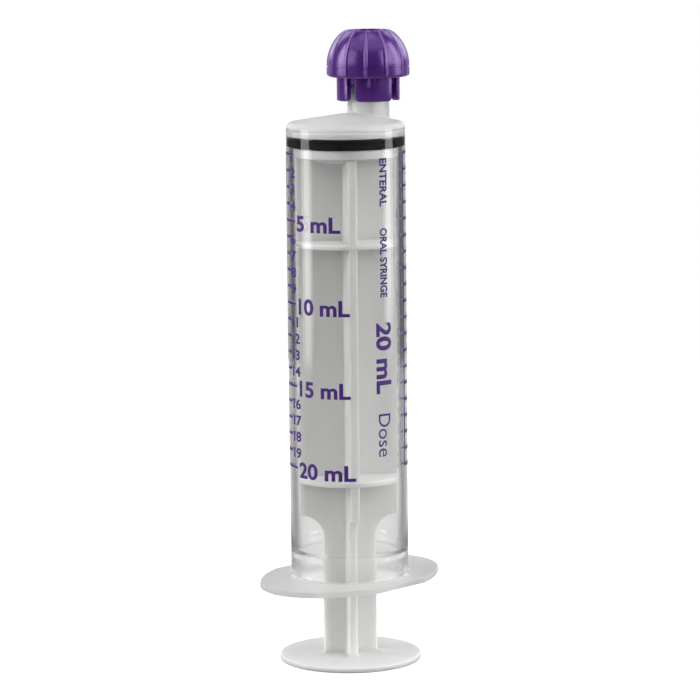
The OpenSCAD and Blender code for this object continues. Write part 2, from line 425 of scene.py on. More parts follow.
def between(a_radius, a_x, b_radius, b_x, share, height, angles):
    """A loop partway from one circle to another, lying on a cone."""
    points = []
    for a in angles:
        x = (1 - share) * (a_x + a_radius * math.cos(a)) + share * (b_x + b_radius * math.cos(a))
        y = ((1 - share) * a_radius + share * b_radius) * math.sin(a)
        points.append((x, y, height(math.hypot(x, y))))
    return points


def lug_radius(a):
    """The tip's radius where its two lugs stand."""
    turned = (a - CAP_TURN) % math.pi
    away = min(turned, math.pi - turned)
    return TIP_R + (LUG_R - TIP_R) * smooth((LUG_HALF_A - away) / math.radians(3) + 0.5)


def flange_rings(angles):
    """The mouth's edge, the flange all round and the fillet up to the tube."""
    mouth = BORE_R + MOUTH_FLARE
    top = BASE_Z + FLANGE_T
    rings = [ring(mouth, BASE_Z + MOUTH_EDGE, angles), ring(mouth + 0.1, BASE_Z, angles)]
    edge = FLANGE_EDGE
    rings.append(ring(lambda a: flange_radius(a) - 2 * edge, BASE_Z, angles))
    for i in range(6):
        t = math.radians(90 * i / 5)
        rings.append(ring(lambda a, t=t: flange_radius(a) - edge + edge * math.sin(t),
                          BASE_Z + edge - edge * math.cos(t), angles))
    for i in range(6):
        t = math.radians(90 * i / 5)
        rings.append(ring(lambda a, t=t: flange_radius(a) - edge + edge * math.cos(t),
                          top - edge + edge * math.sin(t), angles))
    rings.append(ring(lambda a: flange_radius(a) - 2 * edge, top, angles))
    for r, z in arc(BARREL_R + BASE_FILLET, top + BASE_FILLET, BASE_FILLET, 270, 180, 8):
        rings.append(ring(r, z, angles))
    return rings


def tube_rings(angles):
    """Outside of the tube and its rounded shoulder."""
    rings = []
    low, high = BASE_Z + FLANGE_T + BASE_FILLET, ROUND_Z
    for i in range(1, 12):
        rings.append(ring(BARREL_R, low + (high - low) * i / 12, angles))
    end = 90 - math.degrees(SHOULDER_A)
    for r, z in arc(ROUND_X, ROUND_Z, SHOULDER_ROUND, 0, end, 12):
        rings.append(ring(r, z, angles))
    return rings


def tip_rings(angles):
    """From the shoulder up the tip, over its mouth and down its bore."""
    r_end = ROUND_X + SHOULDER_ROUND * math.sin(SHOULDER_A)
    foot = TIP_R + NECK_FILLET
    rings = []
    for i in range(1, 25):
        rings.append(between(r_end, 0, foot, TIP_X, i / 24, outer_cone, angles))
    foot_z = [p[2] for p in rings[-1]]
    for i in range(1, 9):
        t = math.radians(90 * i / 8)
        r = TIP_R + NECK_FILLET * (1 - math.sin(t))
        lift = NECK_FILLET * (1 - math.cos(t))
        rings.append([(TIP_X + r * math.cos(a), r * math.sin(a), z + lift)
                      for a, z in zip(angles, foot_z)])
    lug_top = TIP_Z - TIP_EDGE
    plain = [(TIP_R, CORNER_Z + 4), (TIP_R, lug_top - LUG_H - 0.02)]
    lugs = [(lug_radius, lug_top - LUG_H), (lug_radius, lug_top - 0.12)]
    mouth = [(lambda a: lug_radius(a) - 0.1, lug_top), (TIP_R, lug_top + 0.01)]
    bore = [(TIP_R - 0.12, TIP_Z - 0.1), (TIP_R - TIP_EDGE, TIP_Z),
            (TIP_BORE_R + 0.15, TIP_Z), (TIP_BORE_R, TIP_Z - 0.15),
            (TIP_BORE_R, TIP_Z - 4), (TIP_BORE_R, TIP_FLOOR_Z + 0.3),
            (TIP_BORE_R - 0.09, TIP_FLOOR_Z + 0.09), (TIP_BORE_R - 0.3, TIP_FLOOR_Z),
            (PASSAGE_R + 0.1, TIP_FLOOR_Z), (PASSAGE_R, TIP_FLOOR_Z - 0.1)]
    for r, z in plain + lugs + mouth + bore:
        rings.append(ring(r, z, angles, TIP_X))
    return rings


def bore_rings(angles):
    """The roof inside the shoulder, the bore, the stop bead and the flared mouth."""
    rings = []
    r_end = BORE_R - BORE_CORNER
    for i in range(17):
        rings.append(between(PASSAGE_R, TIP_X, r_end, 0, i / 16, inner_cone, angles))
    low_z = inner_cone(r_end) - BORE_CORNER
    for r, z in arc(r_end, low_z, BORE_CORNER, 75, 0, 6):
        rings.append(ring(r, z, angles))
    top, low = SEAL_HIGH.z + 0.1, BEAD_Z + BEAD_HALF_H
    for i in range(11):
        rings.append(ring(BORE_R, top + (low - top) * i / 10, angles))
    for i in range(1, BEAD_LOOPS + 1):
        t = -1 + 2 * i / BEAD_LOOPS
        r = BORE_R - BEAD_IN * (0.5 + 0.5 * math.cos(math.pi * t))
        rings.append(ring(r, BEAD_Z - t * BEAD_HALF_H, angles))
    for i in range(6):
        t = i / 6
        z = BASE_Z + MOUTH_EDGE + MOUTH_FLARE_H * (1 - t)
        rings.append(ring(BORE_R + MOUTH_FLARE * t * t, z, angles))
    return rings


def make_barrel():
    angles = barrel_angles()
    rings = flange_rings(angles) + tube_rings(angles) + tip_rings(angles) + bore_rings(angles)
    return mesh_piece("barrel_moulding", rings, loop=True, sharp=50)


# ---------------------------------------------------------------- plunger
def corner_points(x, y, radius, start, end):
    """Four steps of arc about a point, angles in degrees."""
    turns = [math.radians(start + (end - start) * i / 4) for i in range(5)]
    return [(x + radius * math.cos(t), y + radius * math.sin(t)) for t in turns]


def cross_section(reach, half_t, z):
    """A plus sign with rounded rib edges and a small fillet in each inner corner."""
    inner = half_t + RIB_FILLET
    tip = reach - RIB_EDGE
    side = half_t - RIB_EDGE
    arm = corner_points(inner, -inner, RIB_FILLET, 180, 90)
    arm += corner_points(tip, -side, RIB_EDGE, -90, 0)
    arm += corner_points(tip, side, RIB_EDGE, 0, 90)
    points = []
    for quarter in range(4):
        t = PLUNGER_TURN + quarter * math.pi / 2
        c, s = math.cos(t), math.sin(t)
        points += [(c * x - s * y, s * x + c * y, z) for x, y in arm]
    return points


def rod_levels():
    """Heights of the loops along the cross ribs, close together in the foot and the arch."""
    foot = [THUMB_T - 0.3] + [THUMB_T + FOOT_FILLET * i / 8 for i in range(9)]
    stem = [THUMB_T + FOOT_FILLET + (ARCH_Z - THUMB_T - FOOT_FILLET) * i / 4 for i in range(1, 5)]
    arch = [ARCH_Z + ARCH_R * math.sin(math.radians(90 * i / 14)) for i in range(1, 15)]
    top = HEAD_Z - 0.2
    ribs = [arch[-1] + (top - arch[-1]) * i / 10 for i in range(1, 11)]
    return foot + stem + arch + ribs


def make_cross_ribs():
    rings = []
    for z in rod_levels():
        low = max(0.0, THUMB_T + FOOT_FILLET - max(z, THUMB_T))
        flare = FOOT_FILLET - math.sqrt(FOOT_FILLET ** 2 - low ** 2)
        rise = min(max(z - ARCH_Z, 0.0), ARCH_R)
        reach = STEM_HALF_W + ARCH_R - math.sqrt(ARCH_R ** 2 - rise ** 2)
        rings.append(cross_section(reach + flare, RIB_HALF_T + flare, z))
    return mesh_piece("cross_ribs", rings, caps=True)


def disc_profile(radius, low, high, edge):
    """Half section of a disc with rounded rims."""
    rim = radius - edge
    return ([(0, low)] + arc(rim, low + edge, edge, -90, 0, 5)
            + arc(rim, high - edge, edge, 0, 90, 5) + [(0, high)])


def head_profile():
    """Two lands with the ring's groove between them, under a conical crown with a gate mark."""
    slope = math.tan(SHOULDER_A)
    edge = LAND_EDGE
    top = CROWN_Z
    low = HEAD_Z - HEAD_BEVEL
    profile = [(0, low), (STEM_HALF_W - 0.4, low), (STEM_HALF_W + 0.2, low + 0.12)]
    profile += arc(LAND_R - edge, HEAD_Z + edge, edge, -45, 0, 4)
    profile += arc(LAND_R - edge, SEAL_LOW.z - GROOVE_PLAY - edge, edge, 0, 90, 4)
    profile += [(GROOVE_R, SEAL_LOW.z - GROOVE_PLAY), (GROOVE_R, SEAL_HIGH.z + GROOVE_PLAY)]
    profile += arc(LAND_R - edge, SEAL_HIGH.z + GROOVE_PLAY + edge, edge, -90, 0, 4)
    profile += arc(LAND_R - edge, top - edge, edge, 0, 80, 4)
    profile += [(r, top + slope * (LAND_R - r)) for r in (8, 6, 4, 2)]
    mark_z = top + slope * (LAND_R - GATE_MARK_R) - GATE_MARK_D
    return profile + [(GATE_MARK_R, mark_z), (0, mark_z)]


def make_plunger():
    angles = turn_angles(ROD_TURNS)
    parts = [make_cross_ribs(),
             revolve("head", head_profile(), angles),
             revolve("thumb_disc", disc_profile(THUMB_R, 0, THUMB_T, THUMB_EDGE), angles)]
    for z in GUIDES_Z:
        parts.append(revolve("guide", disc_profile(GUIDE_R, z, z + GUIDE_T, 0.2), angles))
    return fuse("plunger_moulding", parts)


def make_seal():
    """The ring: rounded corners and a fine flash line around its middle."""
    r_out, r_in = SEAL_R, SEAL_R - SEAL_W
    low, high, mid = SEAL_LOW.z, SEAL_HIGH.z, (SEAL_LOW.z + SEAL_HIGH.z) / 2
    edge = SEAL_ROUND
    profile = arc(r_out - edge, low + edge, edge, -90, 0, 8)
    profile += [(r_out, mid - 0.12), (r_out - 0.01, mid - 0.05), (r_out - 0.01, mid + 0.05),
                (r_out, mid + 0.12)]
    profile += arc(r_out - edge, high - edge, edge, 0, 90, 8)
    profile += arc(r_in + edge, high - edge, edge, 90, 180, 8)
    profile += arc(r_in + edge, low + edge, edge, 180, 270, 8)
    return revolve("seal_moulding", profile, turn_angles(ROD_TURNS), loop=True)


# ---------------------------------------------------------------- cap
def cap_angles():
    """Directions around the dome, gathered at its thin ribs."""
    half = math.asin(CAP_RIB_HALF_T / CAP_R)
    edge = math.asin((CAP_RIB_HALF_T + CAP_RIB_SOFT) / CAP_R)
    pitch = 2 * math.pi / CAP_RIBS
    angles = []
    for rib in range(CAP_RIBS):
        centre = CAP_TURN + rib * pitch
        near = [centre + t * half for t in (-1, -0.5, 0, 0.5, 1)]
        sides = [centre + half + (edge - half) * t for t in (0.25, 0.5, 0.75, 1)]
        mirror = [2 * centre - a for a in reversed(sides)]
        between_ribs = [centre + edge + (pitch - 2 * edge) * i / 14 for i in range(1, 14)]
        angles += mirror + near + sides + between_ribs
    return angles


def rib_mask(a):
    """One on a thin rib of the dome, falling smoothly to nothing beside it."""
    pitch = 2 * math.pi / CAP_RIBS
    turned = (a - CAP_TURN) % pitch
    away = min(turned, pitch - turned) * CAP_R
    return smooth(1 - (away - CAP_RIB_HALF_T) / CAP_RIB_SOFT)


def dome_profile():
    """Outside of the dome from the dish's floor over the rim to the lower edge: (r, z, rib share)."""
    floor = DOME_TOP_Z - DISH_H
    mark = floor + DISH_MARK_H
    dish = [(0, floor), (DISH_MARK_IN, floor), (DISH_MARK_IN + DISH_MARK_SLOPE, mark),
            (DISH_MARK_OUT - DISH_MARK_SLOPE, mark), (DISH_MARK_OUT, floor),
            (DISH_R - DISH_ROUND - 0.05, floor)]
    dish += arc(DISH_R - DISH_ROUND, floor + DISH_ROUND, DISH_ROUND, 270, 360, 6)
    dish += [(DISH_R, DOME_TOP_Z - 0.5)]
    dish += arc(DISH_R + RIM_ROUND, DOME_TOP_Z - RIM_ROUND, RIM_ROUND, 180, 90, 4)
    points = [(r, z, 0) for r, z in dish]
    centre = CAP_R - DOME_ARC_R
    top = math.degrees(math.asin((DOME_TOP_Z - 0.05 - DOME_MID_Z) / DOME_ARC_R))
    for i in range(29):
        t = math.radians(top * (1 - i / 28))
        share = smooth(i / 3)
        points.append((centre + DOME_ARC_R * math.cos(t), DOME_MID_Z + DOME_ARC_R * math.sin(t), share))
    half = PARTING_H / 2
    points += [(CAP_R, PARTING_Z + half, 1), (CAP_R - PARTING_IN, PARTING_Z + half - 0.03, 0.6),
               (CAP_R - PARTING_IN, PARTING_Z - half + 0.03, 0.6), (CAP_R + 0.02, PARTING_Z - half, 1),
               (CAP_R + 0.02, DOME_Z + DOME_ROUND + 0.4, 1)]
    points += [(r, z, smooth((z - DOME_Z) / DOME_ROUND)) for r, z in
               arc(CAP_R - DOME_ROUND, DOME_Z + DOME_ROUND, DOME_ROUND, 0, -90, 8)]
    return points


def cap_inside_profile():
    """From the dome's underside in to the collar, the socket's roof and the plug."""
    collar = SKIRT_BORE_R + COLLAR_WALL
    collar_z = DOME_Z - COLLAR_H
    edge = 0.12
    points = [(collar + 0.1, DOME_Z), (collar, DOME_Z - 0.1), (collar, collar_z + edge)]
    points += [(collar - edge, collar_z), (SKIRT_BORE_R + edge, collar_z),
               (SKIRT_BORE_R, collar_z + edge), (SKIRT_BORE_R, CAP_ROOF_Z - 0.2),
               (SKIRT_BORE_R - 0.2, CAP_ROOF_Z), (PLUG_R + 0.2, CAP_ROOF_Z),
               (PLUG_R, CAP_ROOF_Z - 0.2), (PLUG_R, PLUG_Z + 0.5), (PLUG_R - 0.35, PLUG_Z),
               (PLUG_BORE_R + 0.1, PLUG_Z), (PLUG_BORE_R, PLUG_Z + 0.1),
               (PLUG_BORE_R, CAP_ROOF_Z - 0.3), (PLUG_BORE_R - 0.3, CAP_ROOF_Z), (0, CAP_ROOF_Z)]
    return points


def leg_section(turn, low, thick_in, thick_out, bead):
    """Section of a leg across its thickness, from its bottom at low to inside the dome."""
    e = min(LEG_EDGE, (thick_out - thick_in) * 0.45)
    top = DOME_Z + 0.25
    section = arc(thick_out - e, low + e, e, -90, 0, 3)
    section += [(thick_out, (low + top) / 2), (thick_out, top), (thick_in, top)]
    section += [(thick_in, SNAP_Z + SNAP_H + 0.25), (thick_in - bead, SNAP_Z + SNAP_H - 0.1),
                (thick_in - bead, SNAP_Z + 0.25), (thick_in, SNAP_Z)]
    section += [(r, min(z, SNAP_Z - 0.02)) for r, z in arc(thick_in + e, low + e, e, 180, 270, 3)]
    c, s = math.cos(turn), math.sin(turn)
    return [(TIP_X + r * c, r * s, z) for r, z in section]


def make_leg(centre):
    """One leg of the skirt: curved, with rounded lower corners and a snap bead inside."""
    half = math.pi / LEGS - LEG_HALF_SLOT / SKIRT_R
    width = half * SKIRT_R
    steps = 30
    rings = []
    for i in range(steps + 1):
        u = -math.cos(math.pi * i / steps)
        to_end = (1 - abs(u)) * width
        low = SKIRT_Z
        if to_end < LEG_ROUND:
            low += LEG_ROUND - math.sqrt(LEG_ROUND ** 2 - (LEG_ROUND - to_end) ** 2)
        inset = 0.0
        if to_end < LEG_EDGE:
            inset = LEG_EDGE - math.sqrt(LEG_EDGE ** 2 - (LEG_EDGE - to_end) ** 2)
        low = min(low, SNAP_Z - 0.12)
        bead = SNAP_IN * smooth((SNAP_HALF_A - abs(u * half)) / math.radians(2) + 0.5)
        rings.append(leg_section(centre + u * half, low, SKIRT_BORE_R + inset, SKIRT_R - inset, bead))
    return mesh_piece("leg", rings, caps=True)


def make_cap():
    angles = cap_angles()
    profile = []
    for r, z, share in dome_profile():
        ribbed = (lambda a, r=r, share=share: r + share * CAP_RIB_OUT * rib_mask(a)) if share else r
        profile.append((ribbed, z))
    body = revolve("cap_body", profile + cap_inside_profile(), angles, centre_x=TIP_X)
    legs = [make_leg(CAP_TURN + (leg + 0.5) * 2 * math.pi / LEGS) for leg in range(LEGS)]
    return fuse("cap_moulding", [body] + legs)


# ---------------------------------------------------------------- print on the barrel
def flat_text(words, height, bold, stretch=1.0):
    """Mesh of some words lying flat, left end at x = 0, middle at y = 0, with capitals so tall."""
    curve = bpy.data.curves.new("letters", "FONT")
    curve.body = words
    curve.size = 1
    curve.offset = bold
    curve.resolution_u = 6
    text = bpy.data.objects.new("letters", curve)
    bpy.context.scene.collection.objects.link(text)
    bpy.context.view_layer.update()
    mesh = bpy.data.meshes.new_from_object(
        text.evaluated_get(bpy.context.evaluated_depsgraph_get()))
    bpy.data.objects.remove(text)
    left = min(v.co.x for v in mesh.vertices)
    scale = height / FONT_CAP_H
    for v in mesh.vertices:
        v.co.x = (v.co.x - left) * scale * stretch
        v.co.y = v.co.y * scale - height / 2
    return mesh


def wrap_mesh(bm, mesh, place):
    """Cuts flat words into narrow strips, bends them onto the barrel and gives them thickness."""
    flat = bmesh.new()
    flat.from_mesh(mesh)
    bmesh.ops.remove_doubles(flat, verts=flat.verts, dist=1e-5)
    for axis, normal in ((0, (1, 0, 0)), (1, (0, 1, 0))):
        low = min(v.co[axis] for v in flat.verts)
        high = max(v.co[axis] for v in flat.verts)
        cut = low + STRIP_W
        while cut < high:
            at = [0.0, 0.0, 0.0]
            at[axis] = cut
            bmesh.ops.bisect_plane(flat, geom=flat.verts[:] + flat.edges[:] + flat.faces[:],
                                   plane_co=at, plane_no=normal)
            cut += STRIP_W
    faces = bmesh.ops.extrude_face_region(flat, geom=flat.faces[:])["geom"]
    for v in [g for g in faces if isinstance(g, bmesh.types.BMVert)]:
        v.co.z += INK_T
    bmesh.ops.recalc_face_normals(flat, faces=flat.faces)
    for v in flat.verts:
        a, z = place(v.co.x, v.co.y)
        r = BARREL_R + INK_GAP + v.co.z
        v.co = Vector((r * math.cos(a), r * math.sin(a), z)) * MM
    part = bpy.data.meshes.new("part")
    flat.to_mesh(part)
    flat.free()
    bm.from_mesh(part)
    bpy.data.meshes.remove(part)


def line_z(volume):
    return FULL_Z + (CAPACITY - volume) * ML_PITCH


def across(start, z):
    """Places words that read along the barrel's turn, starting at a direction in degrees."""
    return lambda x, y: (FRONT_A + math.radians(start) + x / BARREL_R, z + y)


def downward(centre, top):
    """Places words that read down the barrel, on a line at a direction in degrees."""
    return lambda x, y: (FRONT_A + math.radians(centre) + y / BARREL_R, top - x)


def make_numerals():
    bm = bmesh.new()
    for volume in range(1, CAPACITY + 1):
        long = volume % 5 == 0
        height, turn = (LONG_TEXT_H, LONG_TEXT_A) if long else (SHORT_TEXT_H, SHORT_TEXT_A)
        stretch = SHORT_TEXT_STRETCH if volume < 10 else TEENS_STRETCH
        if long:
            stretch = LONG_TEXT_STRETCH
        if str(volume)[0] == "1":
            turn += ONE_SHIFT
            stretch *= ONE_NARROW
        words = flat_text(f"{volume} mL" if long else str(volume), height, TEXT_BOLD, stretch)
        for scale in (0, SECOND_SCALE_A):
            wrap_mesh(bm, words, across(turn + scale, line_z(volume) - TEXT_DROP))
    for words, height, bold, top, stretch in COLUMN:
        wrap_mesh(bm, flat_text(words, height, bold, stretch), downward(COLUMN_A, top))
    mesh = bpy.data.meshes.new("numerals")
    bm.to_mesh(mesh)
    bm.free()
    piece = bpy.data.objects.new("printed_numerals", mesh)
    bpy.context.scene.collection.objects.link(piece)
    return piece


# ---------------------------------------------------------------- finishes
def new_group(name, inputs, outputs):
    """An empty node group with named float inputs and outputs."""
    tree = bpy.data.node_groups.new(name, "ShaderNodeTree")
    for label, value in inputs:
        socket = tree.interface.new_socket(name=label, in_out="INPUT", socket_type="NodeSocketFloat")
        socket.default_value = value
    for label, kind in outputs:
        tree.interface.new_socket(name=label, in_out="OUTPUT", socket_type=kind)
    return tree, tree.nodes.new("NodeGroupInput"), tree.nodes.new("NodeGroupOutput")


def maths(tree, operation, *values, clamp=False):
    """A Math node, fed by numbers or sockets. Returns its output."""
    node = tree.nodes.new("ShaderNodeMath")
    node.operation = operation
    node.use_clamp = clamp
    for socket, value in zip(node.inputs, values):
        if isinstance(value, (int, float)):
            socket.default_value = value
        else:
            tree.links.new(value, socket)
    return node.outputs[0]


def object_place(tree):
    """The place on the object, in metres."""
    return tree.nodes.new("ShaderNodeTexCoord").outputs["Object"]


def object_xyz(tree):
    """The place on the object, in metres, split in three."""
    split = tree.nodes.new("ShaderNodeSeparateXYZ")
    tree.links.new(object_place(tree), split.inputs[0])
    return split.outputs


def noise(tree, place, scale, detail=3.0, stretch=(1, 1, 1)):
    """Noise over the object, so many waves a metre."""
    mapping = tree.nodes.new("ShaderNodeMapping")
    mapping.inputs["Scale"].default_value = stretch
    tree.links.new(place, mapping.inputs["Vector"])
    node = tree.nodes.new("ShaderNodeTexNoise")
    if isinstance(scale, (int, float)):
        node.inputs["Scale"].default_value = scale
    else:
        tree.links.new(scale, node.inputs["Scale"])
    node.inputs["Detail"].default_value = detail
    tree.links.new(mapping.outputs[0], node.inputs["Vector"])
    return node.outputs["Fac"]


def moulded_surface_group():
    """Moulded plastic's fine grain and faint flow marks: a roughness and a height."""
    tree, given, out = new_group(
        "moulded_surface",
        [("Roughness", 0.3), ("Roughness Spread", 0.1), ("Grain Scale", 2500.0),
         ("Grain", 0.5), ("Flow", 0.5)],
        [("Roughness", "NodeSocketFloat"), ("Height", "NodeSocketFloat"),
         ("Tone", "NodeSocketFloat")])
    place = object_place(tree)
    grain = noise(tree, place, given.outputs["Grain Scale"])
    flow = noise(tree, place, 90.0, 4.0, (1, 1, 0.18))
    cloud = noise(tree, place, 260.0, 5.0)
    spread = maths(tree, "MULTIPLY", maths(tree, "SUBTRACT", cloud, 0.5),
                   given.outputs["Roughness Spread"])
    rough = maths(tree, "ADD", given.outputs["Roughness"], spread, clamp=True)
    height = maths(tree, "ADD", maths(tree, "MULTIPLY", grain, given.outputs["Grain"]),
                   maths(tree, "MULTIPLY", flow, given.outputs["Flow"]))
    tree.links.new(rough, out.inputs["Roughness"])
    tree.links.new(height, out.inputs["Height"])
    tree.links.new(maths(tree, "MULTIPLY_ADD", flow, 0.6, maths(tree, "MULTIPLY", cloud, 0.4)),
                   out.inputs["Tone"])
    return tree


MOULDED = moulded_surface_group()


def new_finish(name):
    """An empty material with its output node and a Principled shader."""
    material = bpy.data.materials.new(name)
    material.use_nodes = True
    tree = material.node_tree
    tree.nodes.clear()
    out = tree.nodes.new("ShaderNodeOutputMaterial")
    shader = tree.nodes.new("ShaderNodeBsdfPrincipled")
    tree.links.new(shader.outputs[0], out.inputs["Surface"])
    return material, tree, shader, out


def use_moulded(tree, shader, strength, distance, **values):
    """Adds the moulded grain to a shader. Returns the group's node."""
    node = tree.nodes.new("ShaderNodeGroup")
    node.node_tree = MOULDED
    for label, value in values.items():
        node.inputs[label.replace("_", " ")].default_value = value
    bump = tree.nodes.new("ShaderNodeBump")
    bump.inputs["Strength"].default_value = strength
    bump.inputs["Distance"].default_value = distance
    tree.links.new(node.outputs["Height"], bump.inputs["Height"])
    tree.links.new(bump.outputs[0], shader.inputs["Normal"])
    tree.links.new(node.outputs["Roughness"], shader.inputs["Roughness"])
    return node


def blend_colours(tree, share, first, second):
    """A colour between two, by a socket from 0 to 1. Each may be a plain colour or a socket."""
    mix = tree.nodes.new("ShaderNodeMix")
    mix.data_type = "RGBA"
    tree.links.new(share, mix.inputs["Factor"])
    for label, colour in (("A", first), ("B", second)):
        if isinstance(colour, tuple):
            mix.inputs[label].default_value = (*colour, 1)
        else:
            tree.links.new(colour, mix.inputs[label])
    return mix.outputs["Result"]


def step_mask(tree, value, low, high):
    """Rises from 0 to 1 as a value goes from low to high."""
    node = tree.nodes.new("ShaderNodeMapRange")
    node.interpolation_type = "SMOOTHSTEP"
    tree.links.new(value, node.inputs["Value"])
    node.inputs["From Min"].default_value = low
    node.inputs["From Max"].default_value = high
    return node.outputs["Result"]


def turned_from(tree, x, y, heading):
    """Angle around the vertical between a direction (x, y) and a heading, never negative."""
    c, s = math.cos(heading), math.sin(heading)
    along = maths(tree, "ADD", maths(tree, "MULTIPLY", x, c), maths(tree, "MULTIPLY", y, s))
    side = maths(tree, "SUBTRACT", maths(tree, "MULTIPLY", y, c), maths(tree, "MULTIPLY", x, s))
    return maths(tree, "ABSOLUTE", maths(tree, "ARCTAN2", side, along))


def let_lamps_through(tree, shader, out, colour):
    """Rays from the lights pass the clear wall, tinted, so that they reach what is inside."""
    path = tree.nodes.new("ShaderNodeLightPath")
    clear = tree.nodes.new("ShaderNodeBsdfTransparent")
    clear.inputs["Color"].default_value = (*colour, 1)
    mix = tree.nodes.new("ShaderNodeMixShader")
    tree.links.new(path.outputs["Is Shadow Ray"], mix.inputs[0])
    tree.links.new(shader.outputs[0], mix.inputs[1])
    tree.links.new(clear.outputs[0], mix.inputs[2])
    tree.links.new(mix.outputs[0], out.inputs["Surface"])


def barrel_plastic(name, roughness, grain, bump, base, transmission, lamps):
    """The barrel's plastic with some polish: faint flow marks, a trace of haze, a light tint."""
    material, tree, shader, out = new_finish(name)
    node = use_moulded(tree, shader, bump, BUMP_DEPTH, Roughness=roughness,
                       Roughness_Spread=roughness / 3, Grain_Scale=BARREL_GRAIN,
                       Grain=grain, Flow=BARREL_FLOW)
    dark = (base, base + GREEN_TRACE, base - GREEN_TRACE)
    light = tuple(min(level + TONE_SPREAD, TINT_MAX) for level in dark)
    tree.links.new(blend_colours(tree, node.outputs["Tone"], dark, light), shader.inputs["Base Color"])
    shader.inputs["IOR"].default_value = PLASTIC_IOR
    shader.inputs["Transmission Weight"].default_value = transmission
    let_lamps_through(tree, shader, out, (lamps, lamps + GREEN_TRACE, lamps))
    return material


def barrel_finish(centre):
    """Which finish a face of the barrel has, by its place in the list of barrel plastics."""
    z = centre.z / MM
    reach = math.hypot(centre.x, centre.y) / MM
    from_tip = math.hypot(centre.x / MM - TIP_X, centre.y / MM)
    inside = reach < BORE_R + FACE_SLACK
    if from_tip < TIP_R + FACE_SLACK and z > CORNER_Z + TIP_HAZE_RISE:
        return HAZY
    if z > ROUND_Z + FROST_RISE or (inside and z > ROOF_Z - ROOF_FROST_H):
        return FROSTED
    if z < BASE_Z + FLANGE_T + FACE_SLACK:
        return GRAINED
    return SOFT if inside and z < BEAD_Z + BEAD_HALF_H else CLEAR


def milky_plastic():
    """The plunger: natural satin plastic that lets a little light in."""
    material, tree, shader, _ = new_finish("milky_plastic")
    grain = use_moulded(tree, shader, 0.12, BUMP_DEPTH, Roughness=0.42, Roughness_Spread=0.12,
                        Grain_Scale=2200.0, Grain=0.4, Flow=1.0)
    tint = blend_colours(tree, grain.outputs["Tone"], MILK_DARK, MILK_LIGHT)
    tree.links.new(tint, shader.inputs["Base Color"])
    shader.inputs["IOR"].default_value = PLASTIC_IOR
    shader.inputs["Subsurface Weight"].default_value = 1.0
    shader.inputs["Subsurface Radius"].default_value = (1.0, 0.97, 0.94)
    shader.inputs["Subsurface Scale"].default_value = 0.0022
    return material


def black_rubber():
    """The seal: dark matte rubber."""
    material, tree, shader, _ = new_finish("black_rubber")
    grain = use_moulded(tree, shader, 0.15, 0.0002, Roughness=0.5, Roughness_Spread=0.25,
                        Grain_Scale=3000.0, Grain=0.6, Flow=0.4)
    tint = blend_colours(tree, grain.outputs["Tone"], RUBBER_DARK, RUBBER_LIGHT)
    tree.links.new(tint, shader.inputs["Base Color"])
    shader.inputs["Specular IOR Level"].default_value = 0.15
    return material


def on_dome_rib(tree):
    """Share of painted highlight along the crests of the dome's thin ribs, found from the turn about
    the tip's axis.
    """
    x, y, z = object_xyz(tree)
    around = maths(tree, "ARCTAN2", y, maths(tree, "SUBTRACT", x, TIP_X * MM))
    pitch = 2 * math.pi / CAP_RIBS
    turned = maths(tree, "WRAP", maths(tree, "SUBTRACT", around, CAP_TURN), pitch / 2, -pitch / 2)
    half = CAP_RIB_HALF_T / CAP_R
    away = step_mask(tree, maths(tree, "ABSOLUTE", turned), half * 0.5, half * 1.3)
    on_dome = step_mask(tree, z, DOME_Z * MM, (DOME_Z + 1) * MM)
    return maths(tree, "MULTIPLY", maths(tree, "SUBTRACT", 1.0, away),
                 maths(tree, "MULTIPLY", on_dome, CAP_RIB_HIGHLIGHT_SHARE))


def thin_places(tree):
    """Where the cap gets painted highlights: sharp edges and rib crests, and a painted rim light where
    it is seen at a glance.
    """
    # Painted highlight on sharp edges, found from pointiness
    edge = tree.nodes.new("ShaderNodeNewGeometry")
    edge_highlight = step_mask(tree, edge.outputs["Pointiness"], 0.60, 0.72)
    edge_highlight = maths(tree, "MAXIMUM", edge_highlight, on_dome_rib(tree))
    # Painted rim light where the surface is seen at a glance
    glance = tree.nodes.new("ShaderNodeLayerWeight")
    rim = maths(tree, "MULTIPLY", step_mask(tree, glance.outputs["Facing"], 0.45, 0.95), CAP_PAINTED_RIM_SHARE)
    return maths(tree, "MAXIMUM", edge_highlight, rim)


def purple_plastic():
    """The cap: deep purple satin plastic, with painted highlights on its edges and rib crests and a
    painted pale rim.
    """
    material, tree, shader, _ = new_finish("purple_plastic")
    grain = use_moulded(tree, shader, 0.12, BUMP_DEPTH, Roughness=0.22, Roughness_Spread=0.12,
                        Grain_Scale=2600.0, Grain=0.4, Flow=0.8)
    body = blend_colours(tree, grain.outputs["Tone"], CAP_DARK, CAP_LIGHT)
    # Base colour with painted highlights blended in on edges, rib crests and the glancing rim
    tree.links.new(blend_colours(tree, thin_places(tree), body, CAP_PAINTED_HIGHLIGHT), shader.inputs["Base Color"])
    shader.inputs["IOR"].default_value = 1.6
    shader.inputs["Specular IOR Level"].default_value = 0.8
    shader.inputs["Specular Tint"].default_value = (0.77, 0.50, 1.0, 1)
    shader.inputs["Subsurface Weight"].default_value = 0.12
    shader.inputs["Subsurface Radius"].default_value = (0.6, 0.3, 1.0)
    shader.inputs["Subsurface Scale"].default_value = 0.0012
    return material


